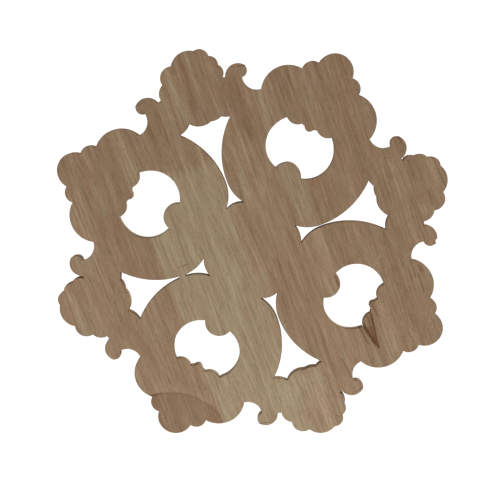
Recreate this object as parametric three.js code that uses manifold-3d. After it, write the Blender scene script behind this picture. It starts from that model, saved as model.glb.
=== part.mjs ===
// Openwork carved wood applique: one glued-up board, sawn through and carved as a flower, with four
// C-scroll rings on the upright and level axes and four roses on the diagonals between them.
// It is drawn flat first, in millimetres: x to the right, y up, and z the height above the flat back.
// At the end the drawing is stood up. The back then lies at y = 0 and faces +Y, the carving faces -Y,
// +Z is up and the origin is the middle of the back.

import * as THREE from "three";
import { mergeVertices } from "three/addons/utils/BufferGeometryUtils.js";
import Module from "manifold-3d";

// Driving dimensions
const acrossRings = 300;
const thickness = 18;
const edgeThickness = 5;
const slitWebWidth = 5;

// The carving is a free form. Its places and round sizes are shares of the reach, which is half the
// width across two opposite rings, and its heights are shares of the relief between edge and crown.
const reach = acrossRings / 2;
const round = (x, y, r) => ({ x: x * reach, y: y * reach, r: r * reach });
const level = (share) => THREE.MathUtils.lerp(edgeThickness, thickness, share);

// A C-scroll ring, drawn as the one on the upper axis. Each half of its band lies between an outer
// edge of three arcs and an inner edge of two, and ends under a volute.
const outerLow = round(0.114, 0.3753, 0.1813);
const outerSide = round(-0.0193, 0.5173, 0.376);
const outerHigh = round(0.0947, 0.5173, 0.262);
const innerLow = round(0.0298, 0.5337, 0.1319);
const innerHigh = round(0.0091, 0.5274, 0.1533);
const bandEndAngle = 0.8;
const volute = round(0.1552, 0.7417, 0.1274);

// The palmette between the two volutes, with the scallops and the drop at its foot
const palmetteRoot = round(0, 0.65, 0.036);
const palmetteTop = round(0, 0.914, 0.086);
const palmetteSide = round(0.0944, 0.8742, 0.0498);
const scallop = round(0.0774, 0.6783, 0.0543);
const drop = round(0, 0.6353, 0.017);

// The flower in the middle: a long tongue to each ring, a short petal to each slit, and the boss
const flowerRoot = round(0, 0, 0.0367);
const tongueEnd = round(0, 0.3876, 0.0677);
const shortPetalEnd = round(0, 0.1324, 0.1083);
const flowerField = round(0, 0, 0.228);
const boss = round(0, 0, 0.08);

// A rose with its sepals and curled hooks, drawn as if on the upper axis. The rose leans to the right.
const sepal = round(0.1367, 0.718, 0.0907);
const hookBulb = round(0.2242, 0.7858, 0.0599);
const hookNose = round(0.2419, 0.8077, 0.0316);
const hookValley = round(0.3071, 0.7634, 0.0668);
const hookFoot = round(0.2984, 0.6923, 0);
const roseHeart = round(0.0067, 0.7833, 0.13);
const whorl = round(0.0067, 0.7933, 0.09);
const whorlPetals = 5;
const whorlWave = { petals: whorlPetals, depth: 0.11 };
const outerPetals = [
  round(0.025, 0.8906, 0.0877),
  round(0.0857, 0.9227, 0.0433),
  round(0.1184, 0.8813, 0.0397),
  round(0.1265, 0.8382, 0.042),
  round(0.0533, 0.71, 0.0753),
  round(0, 0.7173, 0.0867),
  round(-0.0923, 0.8183, 0.0583),
  round(-0.0645, 0.8837, 0.0548),
];

// What the saw and time left: the slit between two rings is bridged at one corner, and one hook is
// chipped. Both are told by where they are.
const slitWebPlace = round(0, 0.356, 0);
const chip = round(-0.2601, 0.8388, 0.0105);

// How finely round forms are faceted
const lobeSides = 14;
const petalSides = 12;
const smallLobeSides = 8;
const whorlSides = 4 * whorlPetals;
const bandSteps = 12;
const leafSteps = 6;
const leafStraightShare = 1 / 3;
const shortestEdge = 1.2;

const quarterTurn = Math.PI / 2;
const sawAllowance = 2;
const lerp = THREE.MathUtils.lerp;

const wasm = await Module();
wasm.setup();

// Solids from closed geometries, whichever way their faces were wound

function trianglesOf(merged, reversed) {
  const kept = [];
  const { array } = merged.index;
  for (let i = 0; i < array.length; i += 3) {
    const [a, b, c] = [array[i], array[i + 1], array[i + 2]];
    const flat = a === b || b === c || c === a;
    if (!flat) kept.push(a, reversed ? c : b, reversed ? b : c);
  }
  return new Uint32Array(kept);
}

function solidOf(geometry) {
  const loose = geometry.index ? geometry.toNonIndexed() : geometry;
  const plain = new THREE.BufferGeometry();
  plain.setAttribute("position", loose.getAttribute("position"));
  const merged = mergeVertices(plain, 1e-4);
  const vertProperties = merged.attributes.position.array;
  const made = (reversed) => {
    const triVerts = trianglesOf(merged, reversed);
    return new wasm.Manifold(new wasm.Mesh({ numProp: 3, vertProperties, triVerts }));
  };
  const solid = made(false);
  return solid.volume() < 0 ? made(true) : solid;
}

// Joins leave slivers along the creases of the carving. Each edge there that is shorter than the
// shortest one wanted is drawn together into one corner, unless that would pinch the surface or turn
// one of its faces.
function withoutSlivers(geometry) {
  const position = geometry.getAttribute("position");
  const corner = (i) => new THREE.Vector3().fromBufferAttribute(position, i);
  const corners = Array.from({ length: position.count }, (_, i) => corner(i));
  const faces = [];
  const facesAt = corners.map(() => new Set());
  for (let i = 0; i < geometry.index.count; i += 3) {
    const face = [0, 1, 2].map((j) => geometry.index.getX(i + j));
    for (const c of face) facesAt[c].add(faces.length);
    faces.push(face);
  }
  const around = (c) => [...facesAt[c]].flatMap((f) => faces[f]);
  const neighbours = (c) => new Set(around(c).filter((other) => other !== c));
  const normal = (face) => {
    const [a, b, c] = face.map((i) => corners[i]);
    return new THREE.Triangle(a, b, c).getNormal(new THREE.Vector3());
  };
  const canMove = (from, to) => {
    const shared = [...neighbours(from)].filter((c) => neighbours(to).has(c));
    if (shared.length !== 2) return false;
    return [...facesAt[from]].every((f) => {
      if (faces[f].includes(to)) return true;
      const moved = normal(faces[f].map((c) => (c === from ? to : c)));
      return moved.lengthSq() > 0.5 && moved.dot(normal(faces[f])) > 0.6;
    });
  };
  const move = (from, to) => {
    for (const f of facesAt[from]) {
      if (faces[f].includes(to)) {
        for (const c of faces[f]) if (c !== from) facesAt[c].delete(f);
        faces[f] = null;
      } else {
        faces[f] = faces[f].map((c) => (c === from ? to : c));
        facesAt[to].add(f);
      }
    }
    facesAt[from].clear();
  };
  for (let from = 0; from < corners.length; from++) {
    if (corners[from].z < edgeThickness + shortestEdge / 4) continue;
    const near = [...neighbours(from)]
      .filter((to) => corners[to].distanceTo(corners[from]) < shortestEdge)
      .sort((a, b) => corners[a].distanceTo(corners[from]) - corners[b].distanceTo(corners[from]));
    const to = near.find((c) => canMove(from, c));
    if (to !== undefined) move(from, to);
  }
  const tidy = new THREE.BufferGeometry();
  tidy.setAttribute("position", position);
  tidy.setIndex(faces.filter((face) => face).flat());
  const loose = tidy.toNonIndexed();
  return mergeVertices(loose, 0);
}

function geometryOf(solid) {
  const mesh = solid.getMesh();
  const positions = new Float32Array(mesh.numVert * 3);
  for (let i = 0; i < mesh.numVert; i++) {
    const first = i * mesh.numProp;
    positions.set(mesh.vertProperties.subarray(first, first + 3), i * 3);
  }
  const geometry = new THREE.BufferGeometry();
  geometry.setAttribute("position", new THREE.BufferAttribute(positions, 3));
  geometry.setIndex(new THREE.BufferAttribute(new Uint32Array(mesh.triVerts), 1));
  return geometry;
}

const joined = (solids) => solids.reduce((whole, one) => whole.add(one));
const placed = (solid, matrix) => solidOf(geometryOf(solid).applyMatrix4(matrix));
const turned = (solid, angle) => placed(solid, new THREE.Matrix4().makeRotationZ(angle));
const mirrored = (solid) => placed(solid, new THREE.Matrix4().makeScale(-1, 1, 1));
const bothSides = (solid) => joined([solid, mirrored(solid)]);

// Points and lines of the drawing

function onCircle(circle, angle) {
  return { x: circle.x + circle.r * Math.cos(angle), y: circle.y + circle.r * Math.sin(angle) };
}

const bearing = (from, to) => Math.atan2(to.y - from.y, to.x - from.x);
const lowAngleAt = (circle, x) => -Math.acos(THREE.MathUtils.clamp((x - circle.x) / circle.r, -1, 1));

// Arcs run through one after another, as one line with t from 0 to 1
function arcChain(arcs) {
  const lengths = arcs.map(({ circle, from, to }) => circle.r * Math.abs(to - from));
  const total = lengths.reduce((sum, length) => sum + length, 0);
  return (t) => {
    let left = t * total;
    let i = 0;
    while (i < arcs.length - 1 && left > lengths[i]) {
      left -= lengths[i];
      i += 1;
    }
    const { circle, from, to } = arcs[i];
    return onCircle(circle, lerp(from, to, Math.min(1, left / lengths[i])));
  };
}

// A moulding or leaf: the ground between two edge lines, with its height given along it by t and
// across it by s
function carvedStrip(leftEdge, rightEdge, heightAt, steps, stations) {
  const across = stations.length;
  const row = across + 2;
  const positions = [];
  const index = [];
  const quad = (a, b, c, d) => index.push(a, b, c, a, c, d);
  for (let i = 0; i <= steps; i++) {
    const t = i / steps;
    const left = leftEdge(t);
    const right = rightEdge(t);
    for (const s of stations) {
      positions.push(lerp(left.x, right.x, s), lerp(left.y, right.y, s), heightAt(t, s));
    }
    positions.push(left.x, left.y, -sawAllowance, right.x, right.y, -sawAllowance);
  }
  for (let i = 0; i < steps; i++) {
    const here = i * row;
    const next = here + row;
    for (let j = 0; j < across - 1; j++) quad(here + j, here + j + 1, next + j + 1, next + j);
    quad(here + across, next + across, next + across + 1, here + across + 1);
    quad(here + across, here, next, next + across);
    quad(here + across - 1, here + across + 1, next + across + 1, next + across - 1);
  }
  const last = steps * row;
  for (let j = 0; j < across - 1; j++) {
    index.push(across, j + 1, j);
    index.push(last + across, last + j, last + j + 1);
  }
  index.push(across, across + 1, across - 1);
  index.push(last + across, last + across - 1, last + across + 1);
  const geometry = new THREE.BufferGeometry();
  geometry.setAttribute("position", new THREE.BufferAttribute(new Float32Array(positions), 3));
  geometry.setIndex(index);
  return solidOf(geometry);
}

// A turned lobe: an upright edge, then rings of given share of its radius and height, to its middle.
// Its corners lie as far outside the true circle as the middles of its sides lie inside it. A wave
// makes its edge and rings into petals.
function turnedLobe(circle, rings, sides = lobeSides, wave = { petals: 0, depth: 0 }) {
  const radius = (2 * circle.r) / (1 + Math.cos(Math.PI / sides));
  const outline = [new THREE.Vector2(0, -sawAllowance), new THREE.Vector2(radius, -sawAllowance)];
  outline.push(new THREE.Vector2(radius, edgeThickness));
  for (const [share, height] of rings) outline.push(new THREE.Vector2(share * radius, height));
  const geometry = new THREE.LatheGeometry(outline, sides);
  geometry.rotateX(quarterTurn);
  const place = geometry.getAttribute("position");
  for (let i = 0; i < place.count; i++) {
    const angle = Math.atan2(place.getY(i), place.getX(i));
    const swell = 1 + wave.depth * Math.cos(wave.petals * angle);
    place.setXY(i, place.getX(i) * swell + circle.x, place.getY(i) * swell + circle.y);
  }
  return solidOf(geometry);
}

function roundedTo(crown) {
  const height = (share) => lerp(edgeThickness, crown, Math.sqrt(1 - share * share));
  return [
    [0.8, height(0.8)],
    [0, crown],
  ];
}

// A cupped petal: its lip rolls over to the edge, and it is dished inside the lip
function cuppedTo(crown, dish) {
  return [
    [0.84, crown],
    [0, dish],
  ];
}

// A leaf widens in straight lines from its root to a round end. These are its two edge lines.
function leafEdge(root, end, side) {
  const direction = bearing(root, end);
  const start = onCircle(root, direction + side * quarterTurn);
  const shoulder = onCircle(end, direction + side * quarterTurn);
  return (t) => {
    if (t < leafStraightShare) {
      const along = t / leafStraightShare;
      return { x: lerp(start.x, shoulder.x, along), y: lerp(start.y, shoulder.y, along) };
    }
    const turn = ((t - leafStraightShare) / (1 - leafStraightShare)) * quarterTurn;
    return onCircle(end, direction + side * (quarterTurn - turn));
  };
}

// Across a leaf a vein is sunk between two round flanks. Along it, it rises from its root and rolls
// over at its round end.
function leaf(root, end, crown) {
  const section = new Map([
    [0, 0],
    [0.22, 1],
    [0.5, 0.75],
    [0.78, 1],
    [1, 0],
  ]);
  const heightAt = (t, s) => {
    const along = Math.min(1, 0.6 + t) * Math.sqrt(1 - t ** 8);
    return lerp(edgeThickness, crown, section.get(s) * along);
  };
  const [left, right] = [leafEdge(root, end, 1), leafEdge(root, end, -1)];
  return carvedStrip(left, right, heightAt, leafSteps, [...section.keys()]);
}

function extruded(shape, from, to) {
  const geometry = new THREE.ExtrudeGeometry(shape, { depth: to - from, bevelEnabled: false });
  return solidOf(geometry.translate(0, 0, from));
}

// Tools that cut right through the board
const cutRight = (shape) => extruded(shape, -2 * sawAllowance, thickness + sawAllowance);
const cutRound = ({ x, y, r }) => cutRight(new THREE.Shape().absarc(x, y, r, 0, 4 * quarterTurn));

// The ring on the upper axis

// Half of the band: a raised rim along each edge and a cove between them
function band() {
  const lowJoin = bearing(outerSide, outerLow);
  const outer = arcChain([
    { circle: outerLow, from: lowAngleAt(outerLow, 0), to: lowJoin },
    { circle: outerSide, from: lowJoin, to: 0 },
    { circle: outerHigh, from: 0, to: bandEndAngle },
  ]);
  const inner = arcChain([
    { circle: innerLow, from: lowAngleAt(innerLow, 0), to: bearing(innerHigh, innerLow) },
    { circle: innerHigh, from: bearing(innerHigh, innerLow), to: bandEndAngle },
  ]);
  const profile = new Map([
    [0, edgeThickness],
    [0.1, level(0.54)],
    [0.17, level(0.54)],
    [0.28, level(0.28)],
    [0.72, level(0.23)],
    [0.86, level(0.45)],
    [1, edgeThickness],
  ]);
  return carvedStrip(outer, inner, (t, s) => profile.get(s), bandSteps, [...profile.keys()]);
}

// The clear space that the band's inner edge is struck round
function ringOpening() {
  const outline = new THREE.Shape();
  outline.absarc(innerHigh.x, innerHigh.y, innerHigh.r, -quarterTurn, quarterTurn, false);
  outline.absarc(-innerHigh.x, innerHigh.y, innerHigh.r, quarterTurn, -quarterTurn, false);
  return cutRight(outline);
}

// A volute: a rolled rim, a groove and a button in the middle
function voluteHead() {
  return turnedLobe(volute, [
    [0.88, level(0.65)],
    [0.68, level(0.36)],
    [0.4, level(0.36)],
    [0.28, level(0.75)],
    [0, level(0.77)],
  ]);
}

function palmette() {
  const foot = [
    bothSides(turnedLobe(scallop, roundedTo(level(0.5)), petalSides)),
    turnedLobe(drop, roundedTo(level(0.4)), smallLobeSides),
  ];
  const side = leaf(palmetteRoot, palmetteSide, level(0.65));
  return joined([...foot, bothSides(side), leaf(palmetteRoot, palmetteTop, level(0.81))]);
}

function ring() {
  const half = joined([band(), voluteHead().subtract(ringOpening())]);
  return joined([bothSides(half), palmette(), leaf(flowerRoot, tongueEnd, level(0.77))]);
}

// The rose on the upper axis, with a sepal and a hook at each side

// A hook rises from the ring's side, and the valley behind it is cut back under its curled nose
function hook() {
  const foot = new THREE.Shape();
  foot.moveTo(sepal.x, sepal.y);
  foot.lineTo(hookBulb.x, hookBulb.y);
  foot.lineTo(hookValley.x, hookValley.y);
  foot.lineTo(hookFoot.x, hookFoot.y);
  foot.lineTo(hookFoot.x - hookBulb.r, hookFoot.y - hookBulb.r);
  foot.lineTo(sepal.x, sepal.y - sepal.r / 2);
  const body = joined([
    turnedLobe(sepal, roundedTo(level(0.42))),
    turnedLobe(hookBulb, roundedTo(level(0.5)), petalSides),
    extruded(foot, -sawAllowance, level(0.12)),
  ]);
  const carved = body.subtract(cutRound(hookValley));
  return carved.add(turnedLobe(hookNose, roundedTo(level(0.6)), smallLobeSides));
}

function bloom() {
  const rim = cuppedTo(level(0.62), level(0.4));
  const petals = outerPetals.map((place) => turnedLobe(place, rim, petalSides));
  const heart = turnedLobe(roseHeart, [[0, level(0.3)]]);
  const inner = [
    [0.86, level(0.85)],
    [0.5, level(0.6)],
    [0.38, level(0.95)],
    [0, thickness],
  ];
  return joined([...petals, heart, turnedLobe(whorl, inner, whorlSides, whorlWave)]);
}

function rose() {
  return joined([bothSides(hook()), bloom()]);
}

// The flower's middle

function middle() {
  const petal = leaf(flowerRoot, shortPetalEnd, level(0.58));
  const petals = [1, 3, 5, 7].map((eighth) => turned(petal, (eighth * quarterTurn) / 2));
  const field = turnedLobe(flowerField, [[0, edgeThickness]], 4 * smallLobeSides);
  const button = turnedLobe(boss, [
    [0.85, level(0.85)],
    [0.62, level(0.73)],
    [0.5, level(0.95)],
    [0, thickness],
  ]);
  return joined([field, ...petals, button]);
}

// The whole board. The left-hand roses are as drawn and the right-hand ones are mirrored, so that all
// four lean upwards. One hook of the upper left-hand rose is chipped.
function board() {
  const oneRing = ring();
  const rings = [0, 1, 2, 3].map((quarter) => turned(oneRing, quarter * quarterTurn));
  const drawn = rose();
  const chipped = drawn.subtract(cutRound(chip));
  const roses = [
    turned(chipped, quarterTurn / 2),
    turned(drawn, 1.5 * quarterTurn),
    turned(mirrored(drawn), -quarterTurn / 2),
    turned(mirrored(drawn), -1.5 * quarterTurn),
  ];
  const web = new THREE.BoxGeometry(slitWebWidth, slitWebWidth, edgeThickness + sawAllowance);
  web.translate(0, slitWebPlace.y, (edgeThickness - sawAllowance) / 2);
  const slitWeb = turned(solidOf(web), -1.5 * quarterTurn);
  const carved = joined([...rings, ...roses, middle(), slitWeb]);
  const saw = new THREE.BoxGeometry(2 * acrossRings, 2 * acrossRings, 2 * thickness);
  return carved.subtract(solidOf(saw.translate(0, 0, -thickness)));
}

const applique = new THREE.Mesh(
  withoutSlivers(geometryOf(board())),
  new THREE.MeshStandardMaterial({ color: 0x907963, roughness: 0.72, metalness: 0 }),
);
applique.name = "applique";
applique.rotation.x = quarterTurn;

const object = new THREE.Group();
object.add(applique);

export default object;
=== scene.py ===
import math

import bpy
from mathutils import Matrix, Vector, noise


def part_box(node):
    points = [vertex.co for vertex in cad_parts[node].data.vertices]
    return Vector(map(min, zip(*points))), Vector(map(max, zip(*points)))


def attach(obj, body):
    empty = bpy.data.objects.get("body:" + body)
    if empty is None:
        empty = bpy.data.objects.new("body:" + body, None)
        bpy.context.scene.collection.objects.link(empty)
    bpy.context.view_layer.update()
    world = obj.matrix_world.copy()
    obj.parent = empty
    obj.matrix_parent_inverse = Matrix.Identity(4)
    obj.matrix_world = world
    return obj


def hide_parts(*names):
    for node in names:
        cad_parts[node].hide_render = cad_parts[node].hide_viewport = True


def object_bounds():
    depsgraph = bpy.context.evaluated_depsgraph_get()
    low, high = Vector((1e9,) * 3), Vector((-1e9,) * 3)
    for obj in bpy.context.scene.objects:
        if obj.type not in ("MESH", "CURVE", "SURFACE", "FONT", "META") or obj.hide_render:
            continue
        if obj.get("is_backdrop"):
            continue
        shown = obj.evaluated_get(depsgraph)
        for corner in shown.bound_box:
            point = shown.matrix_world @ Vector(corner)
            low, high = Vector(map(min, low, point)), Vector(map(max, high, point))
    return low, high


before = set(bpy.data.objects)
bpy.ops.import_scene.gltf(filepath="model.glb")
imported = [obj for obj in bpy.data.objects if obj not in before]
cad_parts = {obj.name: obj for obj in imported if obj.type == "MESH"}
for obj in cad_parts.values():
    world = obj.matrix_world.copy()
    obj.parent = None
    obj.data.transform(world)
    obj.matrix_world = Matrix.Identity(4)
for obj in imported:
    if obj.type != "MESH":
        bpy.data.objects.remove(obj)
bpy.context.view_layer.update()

# The four C-scroll rings
# Carved from the front of the one board of soft hardwood, each ring is a band with a roll along both
# edges and a cove between them. It curls up into two volutes with a palmette between them, and a long
# fluted tongue of the flower runs in under it.

# The board is shaped lying on its flat back: x to the right, y up the ornament, z the carved height.
# Places and radii are shares of its reach, and heights are shares of the relief above its edge.
low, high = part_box("applique")
reach = (high[0] - low[0]) / 2
thickness = high[1] - low[1]
edge_thickness = 0.005
saw_allowance = 0.002
facet = 0.0011
merge_distance = 2e-5


def circle(x, y, radius):
    return x * reach, y * reach, radius * reach


def lerp(a, b, share):
    return a + (b - a) * share


def level(share):
    return lerp(edge_thickness, thickness, share)


def formed(points, edges=(), faces=()):
    mesh = bpy.data.meshes.new("form")
    mesh.from_pydata(points, edges, faces)
    form = bpy.data.objects.new("form", mesh)
    bpy.context.collection.objects.link(form)
    return form


def in_edit_mode(form):
    bpy.ops.object.select_all(action="DESELECT")
    form.select_set(True)
    bpy.context.view_layer.objects.active = form
    bpy.ops.object.mode_set(mode="EDIT")
    bpy.ops.mesh.select_all(action="SELECT")


def closed_up():
    bpy.ops.mesh.select_all(action="SELECT")
    bpy.ops.mesh.remove_doubles(threshold=merge_distance)
    bpy.ops.mesh.normals_make_consistent(inside=False)
    bpy.ops.object.mode_set(mode="OBJECT")


# The other forms are joined to the first, or cut out of it, and are used up
def combined(whole, others, operation="UNION"):
    for other in others:
        bpy.ops.object.select_all(action="DESELECT")
        bpy.context.view_layer.objects.active = whole
        joint = whole.modifiers.new("joint", "BOOLEAN")
        joint.operation = operation
        joint.solver = "MANIFOLD"
        joint.object = other
        bpy.ops.object.modifier_apply(modifier=joint.name)
        bpy.data.objects.remove(other)
    return whole


def copied(form, turn=0.0, mirrored=False):
    copy = form.copy()
    copy.data = form.data.copy()
    bpy.context.collection.objects.link(copy)
    side = Matrix.Diagonal((-1 if mirrored else 1, 1, 1, 1))
    copy.data.transform(Matrix.Rotation(turn, 4, "Z") @ side)
    if mirrored:
        copy.data.flip_normals()
    return copy


outer_low = circle(0.114, 0.3753, 0.1813)
outer_side = circle(-0.0193, 0.5173, 0.376)
outer_high = circle(0.0947, 0.5173, 0.262)
inner_low = circle(0.0298, 0.5337, 0.1319)
inner_high = circle(0.0091, 0.5274, 0.1533)
band_end_angle = 0.8
band_stations = 26
volute = circle(0.1552, 0.7417, 0.1274)
volute_start = -0.5
volute_pitch = 0.38
palmette_root = circle(0, 0.65, 0.036)
palmette_top = circle(0, 0.914, 0.086)
palmette_side = circle(0.0944, 0.8742, 0.0498)
scallop = circle(0.0774, 0.6783, 0.0543)
drop = circle(0, 0.6353, 0.017)
drop_ground = ((-0.0365, 0.651), (-0.0125, 0.6225), (0.0125, 0.6225), (0.0365, 0.651), (0, 0.665))
flower_root = circle(0, 0, 0.0367)
tongue_end = circle(0, 0.3876, 0.0677)
leaf_straight_share = 1 / 3
flare = 0.33


def on_circle(place, angle):
    x, y, radius = place
    return x + radius * math.cos(angle), y + radius * math.sin(angle)


def bearing(start, end):
    return math.atan2(end[1] - start[1], end[0] - start[0])


def low_angle_at(place, x):
    return -math.acos(max(-1.0, min(1.0, (x - place[0]) / place[2])))


# Arcs run through one after another as one line, with t from 0 to 1, and their whole length
def arc_chain(arcs):
    lengths = [place[2] * abs(end - start) for place, start, end in arcs]
    total = sum(lengths)

    def point(t):
        left = t * total
        for (place, start, end), length in zip(arcs, lengths):
            if left <= length or place is arcs[-1][0]:
                return on_circle(place, lerp(start, end, min(1.0, left / length)))
            left -= length

    return point, total


def dome(share):
    return math.sqrt(max(0.0, 1 - share * share))


def flute(turns):
    return abs(math.sin(math.pi * turns))


# A strip laid between two edge lines, with its height given along it by t and across it by s
def laid(left_edge, right_edge, height, along, across):
    bpy.ops.object.select_all(action="DESELECT")
    bpy.ops.mesh.primitive_grid_add(
        x_subdivisions=across, y_subdivisions=along, size=1, location=(0.5, 0.5, 0)
    )
    form = bpy.context.object
    bpy.ops.object.transform_apply()
    in_edit_mode(form)
    bpy.ops.mesh.extrude_region_move(TRANSFORM_OT_translate={"value": (0, 0, -1)})
    bpy.ops.object.mode_set(mode="OBJECT")
    for vertex in form.data.vertices:
        s, t, on_top = vertex.co.x, vertex.co.y, vertex.co.z > -0.5
        left, right = left_edge(t), right_edge(t)
        z = level(height(t, s)) if on_top else -saw_allowance
        vertex.co = (lerp(left[0], right[0], s), lerp(left[1], right[1], s), z)
    in_edit_mode(form)
    closed_up()
    return form


# A round lobe, with its height given by the share of its radius and the angle
def turned(place, height, wave=lambda angle: 1.0):
    x, y, radius = place
    rings = max(5, round(radius / facet))
    sides = max(20, round(2 * math.pi * radius / facet))
    shares = [1 - (1 - i / rings) ** 1.3 for i in range(rings + 1)]
    profile = [(share * radius, 0, edge_thickness) for share in shares]
    profile += [(radius, 0, -saw_allowance), (0, 0, -saw_allowance)]
    form = formed(profile, [(i, i + 1) for i in range(len(profile) - 1)])
    in_edit_mode(form)
    bpy.ops.mesh.spin(steps=sides, angle=2 * math.pi, center=(0, 0, 0), axis=(0, 0, 1))
    closed_up()
    for vertex in form.data.vertices:
        across, up, z = vertex.co
        angle = math.atan2(up, across)
        share = min(1.0, math.hypot(across, up) / radius)
        if z > 0:
            z = level(height(share, angle))
        swell = wave(angle)
        vertex.co = (x + across * swell, y + up * swell, z)
    return form


def plate(outline, bottom, top):
    form = formed([(x, y, bottom) for x, y in outline], faces=[range(len(outline))])
    in_edit_mode(form)
    bpy.ops.mesh.extrude_region_move(TRANSFORM_OT_translate={"value": (0, 0, top - bottom)})
    closed_up()
    return form


# A round cut right through the board that widens towards the carved front
def flared(place):
    x, y, radius = place
    bottom, top = -2 * saw_allowance, thickness + saw_allowance
    bpy.ops.object.select_all(action="DESELECT")
    bpy.ops.mesh.primitive_cone_add(
        vertices=round(2 * math.pi * radius / facet),
        radius1=radius + flare * bottom,
        radius2=radius + flare * top,
        depth=top - bottom,
        location=(x, y, (top + bottom) / 2),
    )
    bpy.ops.object.transform_apply()
    return bpy.context.object


def arc(place, start, end):
    steps = max(8, round(place[2] * abs(end - start) / facet))
    return [on_circle(place, lerp(start, end, i / steps)) for i in range(steps + 1)]


# A leaf widens in straight lines from its root to a round end, with flutes at both sides of its vein
def leaf(root, end, crown, flutes):
    direction = bearing(root, end)
    length = math.dist(root[:2], end[:2]) + math.pi / 2 * end[2]

    def edge(side):
        start = on_circle(root, direction + side * math.pi / 2)
        shoulder = on_circle(end, direction + side * math.pi / 2)

        def point(t):
            if t < leaf_straight_share:
                share = t / leaf_straight_share
                return lerp(start[0], shoulder[0], share), lerp(start[1], shoulder[1], share)
            turn = (t - leaf_straight_share) / (1 - leaf_straight_share) * math.pi / 2
            return on_circle(end, direction + side * (math.pi / 2 - turn))

        return point

    def height(t, s):
        out = abs(2 * s - 1)
        flank = dome((out - 0.5) / 0.5) if out > 0.5 else 1 - 0.22 * (1 - out / 0.5) ** 1.6
        flank *= 1 - 0.14 * (1 - flute(flutes * out)) * min(1.0, 3 * out)
        return crown * flank * min(1.0, 0.05 + 3.6 * t) * math.sqrt(max(0.0, 1 - t**8))

    across = max(12, round(2 * end[2] / facet))
    return laid(edge(1), edge(-1), height, round(length / facet), across)


def band_height(t, s):
    outer_roll = 0.56 * dome((s - 0.135) / 0.135)
    inner_roll = 0.46 * dome((s - 0.87) / 0.13)
    cove = 0.27 - 0.09 * dome((s - 0.5) / 0.26) if 0.2 < s < 0.8 else 0.0
    return max(outer_roll, inner_roll, cove)


def volute_height(share, angle):
    turn = ((angle - volute_start) % (2 * math.pi)) / (2 * math.pi)
    height = 0.34 * dome(share)
    for lap in range(2):
        middle = 0.86 - volute_pitch * (turn + lap)
        height = max(height, lerp(0.72, 0.65, share) * dome((share - middle) / 0.14))
    return max(height, 0.77 * dome(share / 0.28))


def scallop_height(share, angle):
    return 0.5 * dome(share) ** 1.6 * (0.84 + 0.16 * flute(4 * angle / math.pi))


low_join = bearing(outer_side, outer_low)
outer_edge, band_length = arc_chain([
    (outer_low, low_angle_at(outer_low, 0), low_join),
    (outer_side, low_join, 0),
    (outer_high, 0, band_end_angle),
])
inner_join = bearing(inner_high, inner_low)
inner_edge, _ = arc_chain([
    (inner_low, low_angle_at(inner_low, 0), inner_join),
    (inner_high, inner_join, band_end_angle),
])
band_steps = round(band_length / facet)
half_band = laid(outer_edge, inner_edge, band_height, band_steps, band_stations)
volute_form = combined(turned(volute, volute_height), [flared(inner_high)], "DIFFERENCE")
half_ring = combined(half_band, [volute_form])
half_ring = combined(half_ring, [
    turned(scallop, scallop_height),
    leaf(palmette_root, palmette_side, 0.65, 3),
])
ring = combined(half_ring, [
    copied(half_ring, mirrored=True),
    plate([(x * reach, y * reach) for x, y in drop_ground], -saw_allowance, level(0.1)),
    turned(drop, lambda share, angle: 0.4 * dome(share)),
    leaf(palmette_root, palmette_top, 0.81, 4),
    leaf(flower_root, tongue_end, 0.77, 3),
])

# The four roses
# A rose leans on the diagonal between each two rings: eight cupped outer petals, a waved whorl and a
# bud. A sepal lobe and a curled hook stand at each side of its foot.
sepal = circle(0.1367, 0.718, 0.0907)
hook_bulb = circle(0.2242, 0.7858, 0.0599)
hook_nose = circle(0.2419, 0.8077, 0.0316)
hook_valley = circle(0.3071, 0.7634, 0.0668)
hook_foot = circle(0.2984, 0.6923, 0)
hook_curl_start = 0.6
rose_heart = circle(0.0067, 0.7833, 0.13)
whorl = circle(0.0067, 0.7933, 0.09)
whorl_petals = 5
outer_petals = [
    circle(0.025, 0.8906, 0.0877),
    circle(0.0857, 0.9227, 0.0433),
    circle(0.1184, 0.8813, 0.0397),
    circle(0.1265, 0.8382, 0.042),
    circle(0.0533, 0.71, 0.0753),
    circle(0, 0.7173, 0.0867),
    circle(-0.0923, 0.8183, 0.0583),
    circle(-0.0645, 0.8837, 0.0548),
]


def petal(place):
    def height(share, angle):
        x, y = on_circle((place[0], place[1], place[2] * share), angle)
        veins = 1 - 0.1 * share * (1 - flute(6 * bearing(rose_heart, (x, y))))
        lip_height = 0.62 - 0.26 * max(0.0, -math.sin(angle))
        lip = lip_height * dome((share - 0.82) / 0.18) if share > 0.82 else 0.0
        dish = lerp(0.4, lip_height, (share / 0.82) ** 2) if share <= 0.82 else 0.0
        return max(lip, dish) * veins

    return turned(place, height)


def whorl_height(share, angle):
    fold = ((1 - math.cos(whorl_petals * angle)) / 2) ** 3
    if share > 0.8:
        rim = 0.85 * dome((share - 0.8) / 0.2)
    else:
        rim = lerp(0.6, 0.85, max(0.0, (share - 0.44) / 0.36) ** 1.5)
    rim *= 1 - 0.2 * fold
    swirl = flute((3 * angle + 9 * share) / (2 * math.pi))
    bud = (0.9 + 0.1 * dome(share / 0.45) - 0.08 * (1 - swirl)) if share < 0.42 else 0.0
    return max(rim, bud)


def whorl_wave(angle):
    return 1 + 0.11 * math.cos(whorl_petals * angle)


def sepal_height(share, angle):
    return 0.42 * dome(share) * (1 - 0.3 * share * (1 - flute(5 * angle / math.pi)))


def bulb_height(share, angle):
    turn = ((angle - hook_curl_start) % (2 * math.pi)) / (2 * math.pi)
    groove = dome((share - 0.22 - 0.66 * turn) / 0.13)
    return 0.5 * dome(share) - 0.11 * groove


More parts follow.
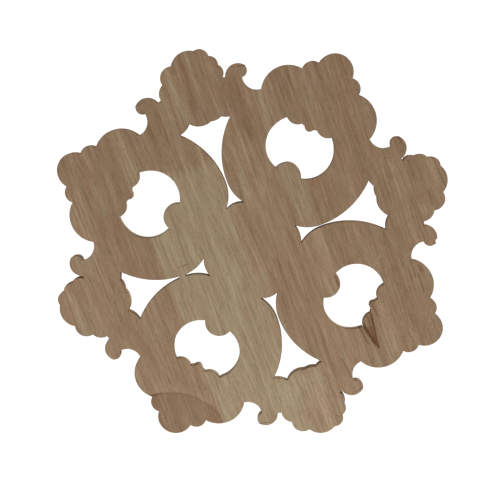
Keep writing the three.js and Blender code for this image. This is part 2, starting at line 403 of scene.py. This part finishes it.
hook_outline = [
    sepal[:2],
    hook_bulb[:2],
    hook_valley[:2],
    hook_foot[:2],
    (hook_foot[0] - hook_bulb[2], hook_foot[1] - hook_bulb[2]),
    (sepal[0], sepal[1] - sepal[2] / 2),
]
hook = combined(turned(sepal, sepal_height), [
    turned(hook_bulb, bulb_height),
    plate(hook_outline, -saw_allowance, level(0.12)),
])
hook = combined(hook, [flared(hook_valley)], "DIFFERENCE")
hook = combined(hook, [turned(hook_nose, lambda share, angle: 0.6 * dome(share))])
rose = combined(hook, [copied(hook, mirrored=True)])
rose = combined(rose, [petal(place) for place in outer_petals])
rose = combined(rose, [
    turned(rose_heart, lambda share, angle: 0.3 * (1 - share)),
    turned(whorl, whorl_height, whorl_wave),
])

# The flower's middle
# Four short petals fill the corners between the tongues, and a boss with a beaded collar covers
# their roots. A plain round ground ties everything together below them.
short_petal_end = circle(0, 0.1324, 0.1083)
flower_field = circle(0, 0, 0.228)
boss = circle(0, 0, 0.08)
boss_beads = 14


def boss_height(share, angle):
    if share > 0.62:
        collar = 0.85 * dome((share - 0.82) / 0.18)
        bead = flute(boss_beads * angle / (2 * math.pi))
        return max(0.0 if share > 0.82 else 0.68, collar * (0.76 + 0.24 * bead))
    return max(0.73, 0.9 + 0.1 * dome(share / 0.55)) if share < 0.55 else 0.73


middle = turned(flower_field, lambda share, angle: 0.0)
short_petal = leaf(flower_root, short_petal_end, 0.58, 3)
eighth = math.pi / 4
middle = combined(middle, [copied(short_petal, turn * eighth) for turn in (1, 3, 5, 7)])
middle = combined(middle, [turned(boss, boss_height)])
bpy.data.objects.remove(short_petal)

# Joining and sawing flat
# All of it is one piece of wood. The left-hand roses are as drawn and the right-hand ones mirrored,
# so all four lean upwards. One slit stays bridged where the saw missed it, and one hook is chipped.
slit_web = (0, 0.356 * reach)
slit_web_width = 0.005
corner_web = circle(0.1887, -0.128, 0.0063)
chip = circle(-0.2601, 0.8388, 0.0105)
saw_cells = 24
flat_snap = 1e-5
arris = 0.0004
gouge_depth = 0.00025
gouge_width = 0.0045
gouge_start = 0.001
gouge_fade = 0.003
crease_angle = math.radians(32)

chip_cut = plate(arc(chip, 0, 2 * math.pi)[:-1], -2 * saw_allowance, thickness + saw_allowance)
chipped_rose = combined(copied(rose), [chip_cut], "DIFFERENCE")
quarter = math.pi / 2
applique = combined(middle, [copied(ring, turn * quarter) for turn in range(4)])
applique = combined(applique, [
    copied(chipped_rose, eighth),
    copied(rose, 3 * eighth),
    copied(rose, -eighth, mirrored=True),
    copied(rose, -3 * eighth, mirrored=True),
])
half_web = slit_web_width / 2
web_outline = [
    (side * half_web, slit_web[1] + end * half_web)
    for side, end in ((-1, -1), (1, -1), (1, 1), (-1, 1))
]
web = plate(web_outline, -saw_allowance, edge_thickness)
web.data.transform(Matrix.Rotation(-3 * eighth, 4, "Z"))
corner_disc = plate(arc(corner_web, 0, 2 * math.pi)[:-1], -saw_allowance, edge_thickness)
applique = combined(applique, [web, corner_disc])

# What takes off the back is divided in squares, so that no face of the flat back is large
bpy.ops.object.select_all(action="DESELECT")
bpy.ops.mesh.primitive_grid_add(x_subdivisions=saw_cells, y_subdivisions=saw_cells, size=2.2 * reach)
saw = bpy.context.object
in_edit_mode(saw)
bpy.ops.mesh.extrude_region_move(TRANSFORM_OT_translate={"value": (0, 0, -thickness)})
closed_up()
applique = combined(applique, [saw], "DIFFERENCE")
for leftover in (ring, rose, chipped_rose):
    bpy.data.objects.remove(leftover)

# The sharp edge round the back is sanded off: the outline there is drawn in along its walls
in_edit_mode(applique)
bpy.ops.mesh.bisect(plane_co=(0, 0, arris), plane_no=(0, 0, 1))
bpy.ops.object.mode_set(mode="OBJECT")
outward = {}
for face in applique.data.polygons:
    if abs(face.normal.z) < 0.5:
        for index in face.vertices:
            if applique.data.vertices[index].co.z < arris / 2:
                outward[index] = outward.get(index, Vector()) + face.normal * face.area
for index, direction in outward.items():
    applique.data.vertices[index].co -= direction.normalized() * arris

# The gouge leaves shallow marks all over the carving and none on the flat back
for vertex in applique.data.vertices:
    if vertex.co.z < flat_snap:
        vertex.co.z = 0
    deep = gouge_depth * min(1.0, max(0.0, (vertex.co.z - gouge_start) / gouge_fade))
    vertex.co.z -= deep * (0.5 + 0.5 * noise.noise(vertex.co / gouge_width))
bpy.ops.object.select_all(action="DESELECT")
applique.select_set(True)
applique.name = applique.data.name = "carved_applique"
applique.data.transform(Matrix.Rotation(quarter, 4, "X"))
bpy.ops.object.shade_smooth_by_angle(angle=crease_angle)
for face in applique.data.polygons:
    face.use_smooth = face.center.y < -arris

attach(applique, "root")
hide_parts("applique")

# The wood
# Bare, sanded hardwood, pale brown with short open pores. The board's strips are glued edge to edge,
# and the pale one is finger-jointed end to end. The strips and their grain run aslant.

# Places are in millimetres, first across the grain and then along it
grain_turn = math.radians(45.4)
first_strip_tone = 0.56

# Each strip of colour: the line where it starts, half the width of its soft edge, and its tone
strips = (
    (-109.0, 4.0, 0.45),
    (-64.4, 0.25, 0.49),
    (-6.0, 5.0, 0.48),
    (38.0, 3.0, 0.55),
    (52.6, 0.25, 0.36),
    (66.0, 2.0, 0.50),
    (84.0, 2.0, 0.38),
    (105.0, 2.0, 0.48),
    (118.0, 1.5, 0.41),
    (131.0, 1.5, 0.54),
)
sapwood_tone = 0.27
finger_place = -69.6
finger_pitch = 4.3
finger_length = 8.0
curl_middle = (-109.3, 124.1)
curl_radius = 47.7
strip_offset = 37
waviness = 2.6
streak_strength = 1.25
streak_fade = 9

# Long streaks: their line, start and end along the grain, half width and change of tone
streaks = (
    (-134.0, -20, 14, 3.5, 0.12),
    (-89.0, -110, -80, 1.8, -0.20),
    (-71.5, -110, -78, 2.2, -0.20),
    (-60.0, -110, -70, 5.0, 0.20),
    (-38.0, -125, -72, 5.5, -0.24),
    (-12.0, -142, -98, 5.5, 0.20),
    (-2.0, -150, -104, 3.8, -0.26),
    (-1.2, -10, 34, 2.0, -0.24),
    (4.5, 124, 146, 1.8, -0.32),
    (9.0, 92, 152, 16.0, 0.26),
    (14.5, 5, 95, 1.4, -0.28),
    (19.0, -20, 60, 1.8, 0.14),
    (21.5, -66, -44, 1.6, -0.34),
    (27.0, -125, -70, 7.0, -0.28),
    (25.5, 38, 112, 1.9, -0.26),
    (29.5, -12, 42, 1.8, -0.18),
    (43.0, -112, -84, 5.0, 0.16),
    (47.0, -50, 36, 5.0, 0.14),
    (65.5, 0, 26, 2.6, -0.14),
    (73.0, 64, 112, 7.0, 0.14),
    (102.0, -62, -28, 3.5, -0.18),
    (111.5, -34, 42, 5.5, 0.14),
    (138.5, -24, 2, 3.8, 0.26),
)

# Dark marks: their start and end, half width and strength
marks = (
    ((-54.5, -6.6), (-47.2, -6.8), 0.7, 0.50),
    ((34.0, 98.0), (35.5, 113.0), 0.9, 0.40),
    ((45.0, 38.0), (45.2, 48.0), 0.9, 0.55),
    # The next mark is partly a dark streak in the wood and partly painted shade along the edge of the knob
    # at the lower right.
    ((49.4, 37.5), (49.6, 47.0), 1.1, 0.65),
    ((53.1, 79.0), (55.6, 93.0), 1.0, 0.60),
    ((56.6, 78.5), (60.6, 94.0), 2.4, 0.95),
    ((60.9, 73.5), (61.6, 92.0), 1.6, 0.50),
    ((60.4, 82.0), (61.2, 95.0), 3.0, 0.70),
    ((64.0, 73.0), (61.7, 98.0), 1.4, 0.85),
    ((67.0, 66.0), (68.4, 76.0), 1.1, 0.40),
    ((84.1, 37.0), (84.3, 43.5), 1.8, 0.30),
    ((100.0, 50.0), (100.2, 58.5), 0.9, 0.35),
    ((102.9, 45.0), (103.0, 57.5), 1.0, 0.50),
    ((105.3, 56.0), (105.3, 69.0), 1.2, 0.40),
    ((107.5, 50.0), (107.8, 54.5), 1.1, 0.40),
    ((124.7, -24.0), (124.7, -12.0), 1.2, 0.20),
    ((131.0, 2.0), (130.4, 12.0), 1.2, 0.30),
    ((141.5, -19.0), (142.5, 2.0), 1.1, 0.35),
    ((145.0, -14.0), (145.4, -4.0), 1.2, 0.40),
)
mark_depth = 4.0

wood = bpy.data.materials.new("bare_wood")
wood.use_nodes = True
tree = wood.node_tree


class Signal:
    def __init__(self, socket):
        self.socket = socket

    @classmethod
    def of(cls, kind, settings=None, sockets=None, output=0):
        node = tree.nodes.new(kind)
        for name, value in (settings or {}).items():
            if name == "stops":
                ramp = node.color_ramp.elements
                for _ in range(len(value) - len(ramp)):
                    ramp.new(0.5)
                for element, (place, shade) in zip(ramp, value):
                    element.position = place
                    element.color = (*shade, 1)
            else:
                setattr(node, name, value)
        for key, value in (sockets or {}).items():
            if isinstance(value, cls):
                tree.links.new(value.socket, node.inputs[key])
            else:
                node.inputs[key].default_value = value
        return cls(node.outputs[output])

    def maths(self, operation, *others, clamped=False):
        sockets = dict(enumerate((self, *others)))
        return Signal.of("ShaderNodeMath", {"operation": operation, "use_clamp": clamped}, sockets)

    def __add__(self, other):
        return self.maths("ADD", other)

    def __sub__(self, other):
        return self.maths("SUBTRACT", other)

    def __rsub__(self, other):
        return Signal.of("ShaderNodeMath", {"operation": "SUBTRACT"}, {0: other, 1: self})

    def __mul__(self, other):
        return self.maths("MULTIPLY", other)

    def __truediv__(self, other):
        return self.maths("DIVIDE", other)

    def __abs__(self):
        return self.maths("ABSOLUTE")

    __radd__ = __add__
    __rmul__ = __mul__

    def held(self):
        return self.maths("ADD", 0.0, clamped=True)

    def step(self, start, end):
        sockets = {"Value": self, "From Min": start, "From Max": end}
        return Signal.of("ShaderNodeMapRange", {"interpolation_type": "SMOOTHSTEP"}, sockets)


def measured(direction):
    place = Signal.of("ShaderNodeTexCoord", output="Object")
    sockets = {0: place, 1: direction}
    return 1000 * Signal.of("ShaderNodeVectorMath", {"operation": "DOT_PRODUCT"}, sockets, "Value")


across = measured((-math.sin(grain_turn), 0, math.cos(grain_turn)))
along = measured((-math.cos(grain_turn), 0, -math.sin(grain_turn)))
depth = measured((0, -1, 0))


def grain(width, length, shift=0.0, detail=2.0, distortion=0.0):
    sockets = {"X": (across + shift) / width, "Y": along / length, "Z": depth / width}
    vector = Signal.of("ShaderNodeCombineXYZ", sockets=sockets)
    sockets = {"Vector": vector, "Scale": 1.0, "Detail": detail, "Distortion": distortion}
    return Signal.of("ShaderNodeTexNoise", sockets=sockets)


def near(distance, width):
    return (1 - abs(distance) / width).held()


tone = first_strip_tone
tone_before = first_strip_tone
strip_shift = 0.0
for line, softness, strip_tone in strips:
    tone = tone + (strip_tone - tone_before) * across.step(line - softness, line + softness)
    tone_before = strip_tone
    strip_shift = strip_shift + strip_offset * across.maths("GREATER_THAN", line)

fingers = 2 * abs((across / finger_pitch).maths("FRACT") - 0.5)
joint_line = finger_place + finger_length * (fingers - 0.5)
past_glue_line = across.step(-64.65, -64.15)
sapwood = past_glue_line * (1 - across.step(-12.0, 9.0)) * (along - joint_line).step(-0.6, 0.6)
tone = tone + sapwood_tone * sapwood

wavy_across = across + waviness * (grain(14.0, 55.0) - 0.5)
for middle_line, start, end, half_width, change in streaks:
    fade = ((end - start) / 2 - abs(along - (start + end) / 2)) / streak_fade
    streak = near(wavy_across - middle_line, half_width) * fade.held()
    tone = tone + streak_strength * change * streak
tone = tone + 0.90 * (grain(6.0, 90.0, strip_shift) - 0.5)
tone = tone + 1.10 * (grain(1.6, 30.0, strip_shift) - 0.5)
fibre = grain(0.45, 9.0, strip_shift) - 0.5
tone = tone + 0.80 * fibre
pores = grain(0.32, 4.6, strip_shift, 1.0, 2.0).step(0.62, 0.70)
tone = tone - 0.32 * pores

curl_across, curl_along = wavy_across - curl_middle[0], along - curl_middle[1]
curl_distance = (curl_across * curl_across + curl_along * curl_along).maths("SQRT") - curl_radius
curl_side = 1 - past_glue_line
inside_curl = 1 - curl_distance.step(-1.2, 0.8)
tone = tone - curl_side * (0.24 * inside_curl - 0.12 * near(curl_distance - 3, 5.0))
curl_strength = 0.34 + 0.4 * (1 - across.step(-106.0, -92.0))

marked = curl_side * near(curl_distance, 1.4) * curl_strength
for start, end, half_width, strength in marks:
    reach_across, reach_along = end[0] - start[0], end[1] - start[1]
    square = reach_across**2 + reach_along**2
    from_across, from_along = wavy_across - start[0], along - start[1]
    share = ((from_across * reach_across + from_along * reach_along) / square).held()
    off_across, off_along = from_across - share * reach_across, from_along - share * reach_along
    distance = (off_across * off_across + off_along * off_along).maths("SQRT")
    marked = marked.maths("MAXIMUM", strength * (1 - distance.step(0.1 * half_width, half_width)))
marked = marked * grain(0.8, 12.0, strip_shift).step(0.1, 0.55)
marked = marked * (1 - depth.step(mark_depth, 2 * mark_depth))

normal = Signal.of("ShaderNodeNewGeometry", output="Normal")
facing = Signal.of("ShaderNodeVectorMath", {"operation": "DOT_PRODUCT"}, {0: normal, 1: (0, 1, 0)}, "Value")
# Painted shade: the sanded edge round the back and the walls within half a millimetre of it are made
# darker, as an edge turning away from the light.
painted_arris_shade = (1 - abs(facing).step(0.8, 0.98)) * (1 - depth.step(0.4, 0.6))
tone = tone - 0.5 * painted_arris_shade


def paint(red, green, blue):
    return [((part / 255 + 0.055) / 1.055) ** 2.4 for part in (red, green, blue)]


shades = (
    (0.0, paint(101, 70, 41)),
    (0.25, paint(123, 96, 71)),
    (0.5, paint(140, 115, 90)),
    (0.75, paint(158, 140, 113)),
    (1.0, paint(176, 162, 138)),
)
bare = Signal.of("ShaderNodeValToRGB", {"stops": shades}, {"Fac": tone / 2 + 0.25})
coolness = grain(9.0, 60.0, strip_shift).step(0.3, 0.7).maths("MAXIMUM", sapwood)
tint = Signal.of("ShaderNodeMix", {"data_type": "RGBA"}, {
    "Factor": coolness, 6: (1.03, 0.985, 0.97, 1), 7: (0.975, 1.01, 0.99, 1)
}, 2)
multiply = {"data_type": "RGBA", "blend_type": "MULTIPLY"}
bare = Signal.of("ShaderNodeMix", multiply, {"Factor": 1.0, 6: bare, 7: tint}, 2)
dark_brown = (*paint(80, 42, 4), 1)
surface = Signal.of("ShaderNodeMix", {"data_type": "RGBA"}, {"Factor": marked, 6: bare, 7: dark_brown}, 2)

gouged = depth.step(0.5, 2.0)
gouge_marks = grain(3.0, 3.0) - 0.5
relief = 0.05 * fibre - 0.10 * pores + 0.25 * gouged * gouge_marks
bump = Signal.of("ShaderNodeBump", sockets={"Strength": 1.0, "Distance": 0.001, "Height": relief})
finish = tree.nodes["Principled BSDF"]
finish.inputs["Specular IOR Level"].default_value = 0.2
tree.links.new(surface.socket, finish.inputs["Base Color"])
tree.links.new((0.68 + 0.25 * fibre + 0.12 * pores).socket, finish.inputs["Roughness"])
tree.links.new(bump.socket, finish.inputs["Normal"])
applique.data.materials.clear()
applique.data.materials.append(wood)

# The floor
# A wide pale sheet well below the ornament, white enough to fade into the white surroundings.
floor_depth = 0.8
bpy.ops.object.select_all(action="DESELECT")
bpy.ops.mesh.primitive_plane_add(size=3, location=(0, 0, -floor_depth))
floor = bpy.context.object
floor.name = "floor"
paper = bpy.data.materials.new("white_paper")
paper.use_nodes = True
whiteness = paper.node_tree.nodes["Principled BSDF"].inputs
whiteness["Base Color"].default_value = (0.9, 0.9, 0.9, 1)
whiteness["Roughness"].default_value = 1.0
whiteness["Emission Color"].default_value = (1, 1, 1, 1)
whiteness["Emission Strength"].default_value = 0.6
floor.data.materials.append(paper)
floor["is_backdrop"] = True

# Light
# White studio surroundings, a soft lamp low at the left behind the flat back, which leaves its top a
# little darker, one overhead for the sawn edges, and one at the upper left of the carved front.
world = bpy.data.worlds.new("studio")
world.use_nodes = True
tree = world.node_tree
surroundings = Signal.of("ShaderNodeLightPath", output="Is Camera Ray")
tree.nodes["Background"].inputs["Color"].default_value = (1, 1, 1, 1)
tree.links.new((0.5 + 0.6 * surroundings).socket, tree.nodes["Background"].inputs["Strength"])
bpy.context.scene.world = world
bpy.context.scene.view_settings.view_transform = "Standard"


def lamp(name, place, size, power):
    light = bpy.data.lights.new(name, "AREA")
    light.shape = "DISK"
    light.size = size
    light.energy = power
    holder = bpy.data.objects.new(name, light)
    bpy.context.collection.objects.link(holder)
    holder.location = place
    holder.rotation_mode = "QUATERNION"
    holder.rotation_quaternion = Vector(place).to_track_quat("Z", "Y")
    holder.visible_camera = False


lamp("back_lamp", (-0.27, 0.5, -0.44), 0.5, 2.35)
lamp("top_lamp", (0.1, 0.06, 0.9), 0.5, 4.0)
lamp("front_lamp", (-1.1, -0.8, 1.1), 0.6, 36)

# Camera
# It looks at the flat back from a little above, rolled so that the ornament stands aslant.
camera_distance = 0.6416
camera_azimuth = math.radians(3.4813)
camera_elevation = math.radians(9.831)
camera_roll = math.radians(24.8425)
camera_lens = 64.82
camera_target = Vector((0.00177, 0, -0.00012))
back_direction = Vector((
    math.sin(camera_azimuth) * math.cos(camera_elevation),
    math.cos(camera_azimuth) * math.cos(camera_elevation),
    math.sin(camera_elevation),
))
camera = bpy.data.objects.new("camera", bpy.data.cameras.new("camera"))
bpy.context.collection.objects.link(camera)
camera.data.lens = camera_lens
camera.data.sensor_width = 36
camera.location = camera_target + back_direction * camera_distance
level_view = back_direction.to_track_quat("Z", "Y")
camera.rotation_mode = "QUATERNION"
camera.rotation_quaternion = level_view @ Matrix.Rotation(camera_roll, 3, "Z").to_quaternion()
bpy.context.scene.camera = camera

low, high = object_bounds()
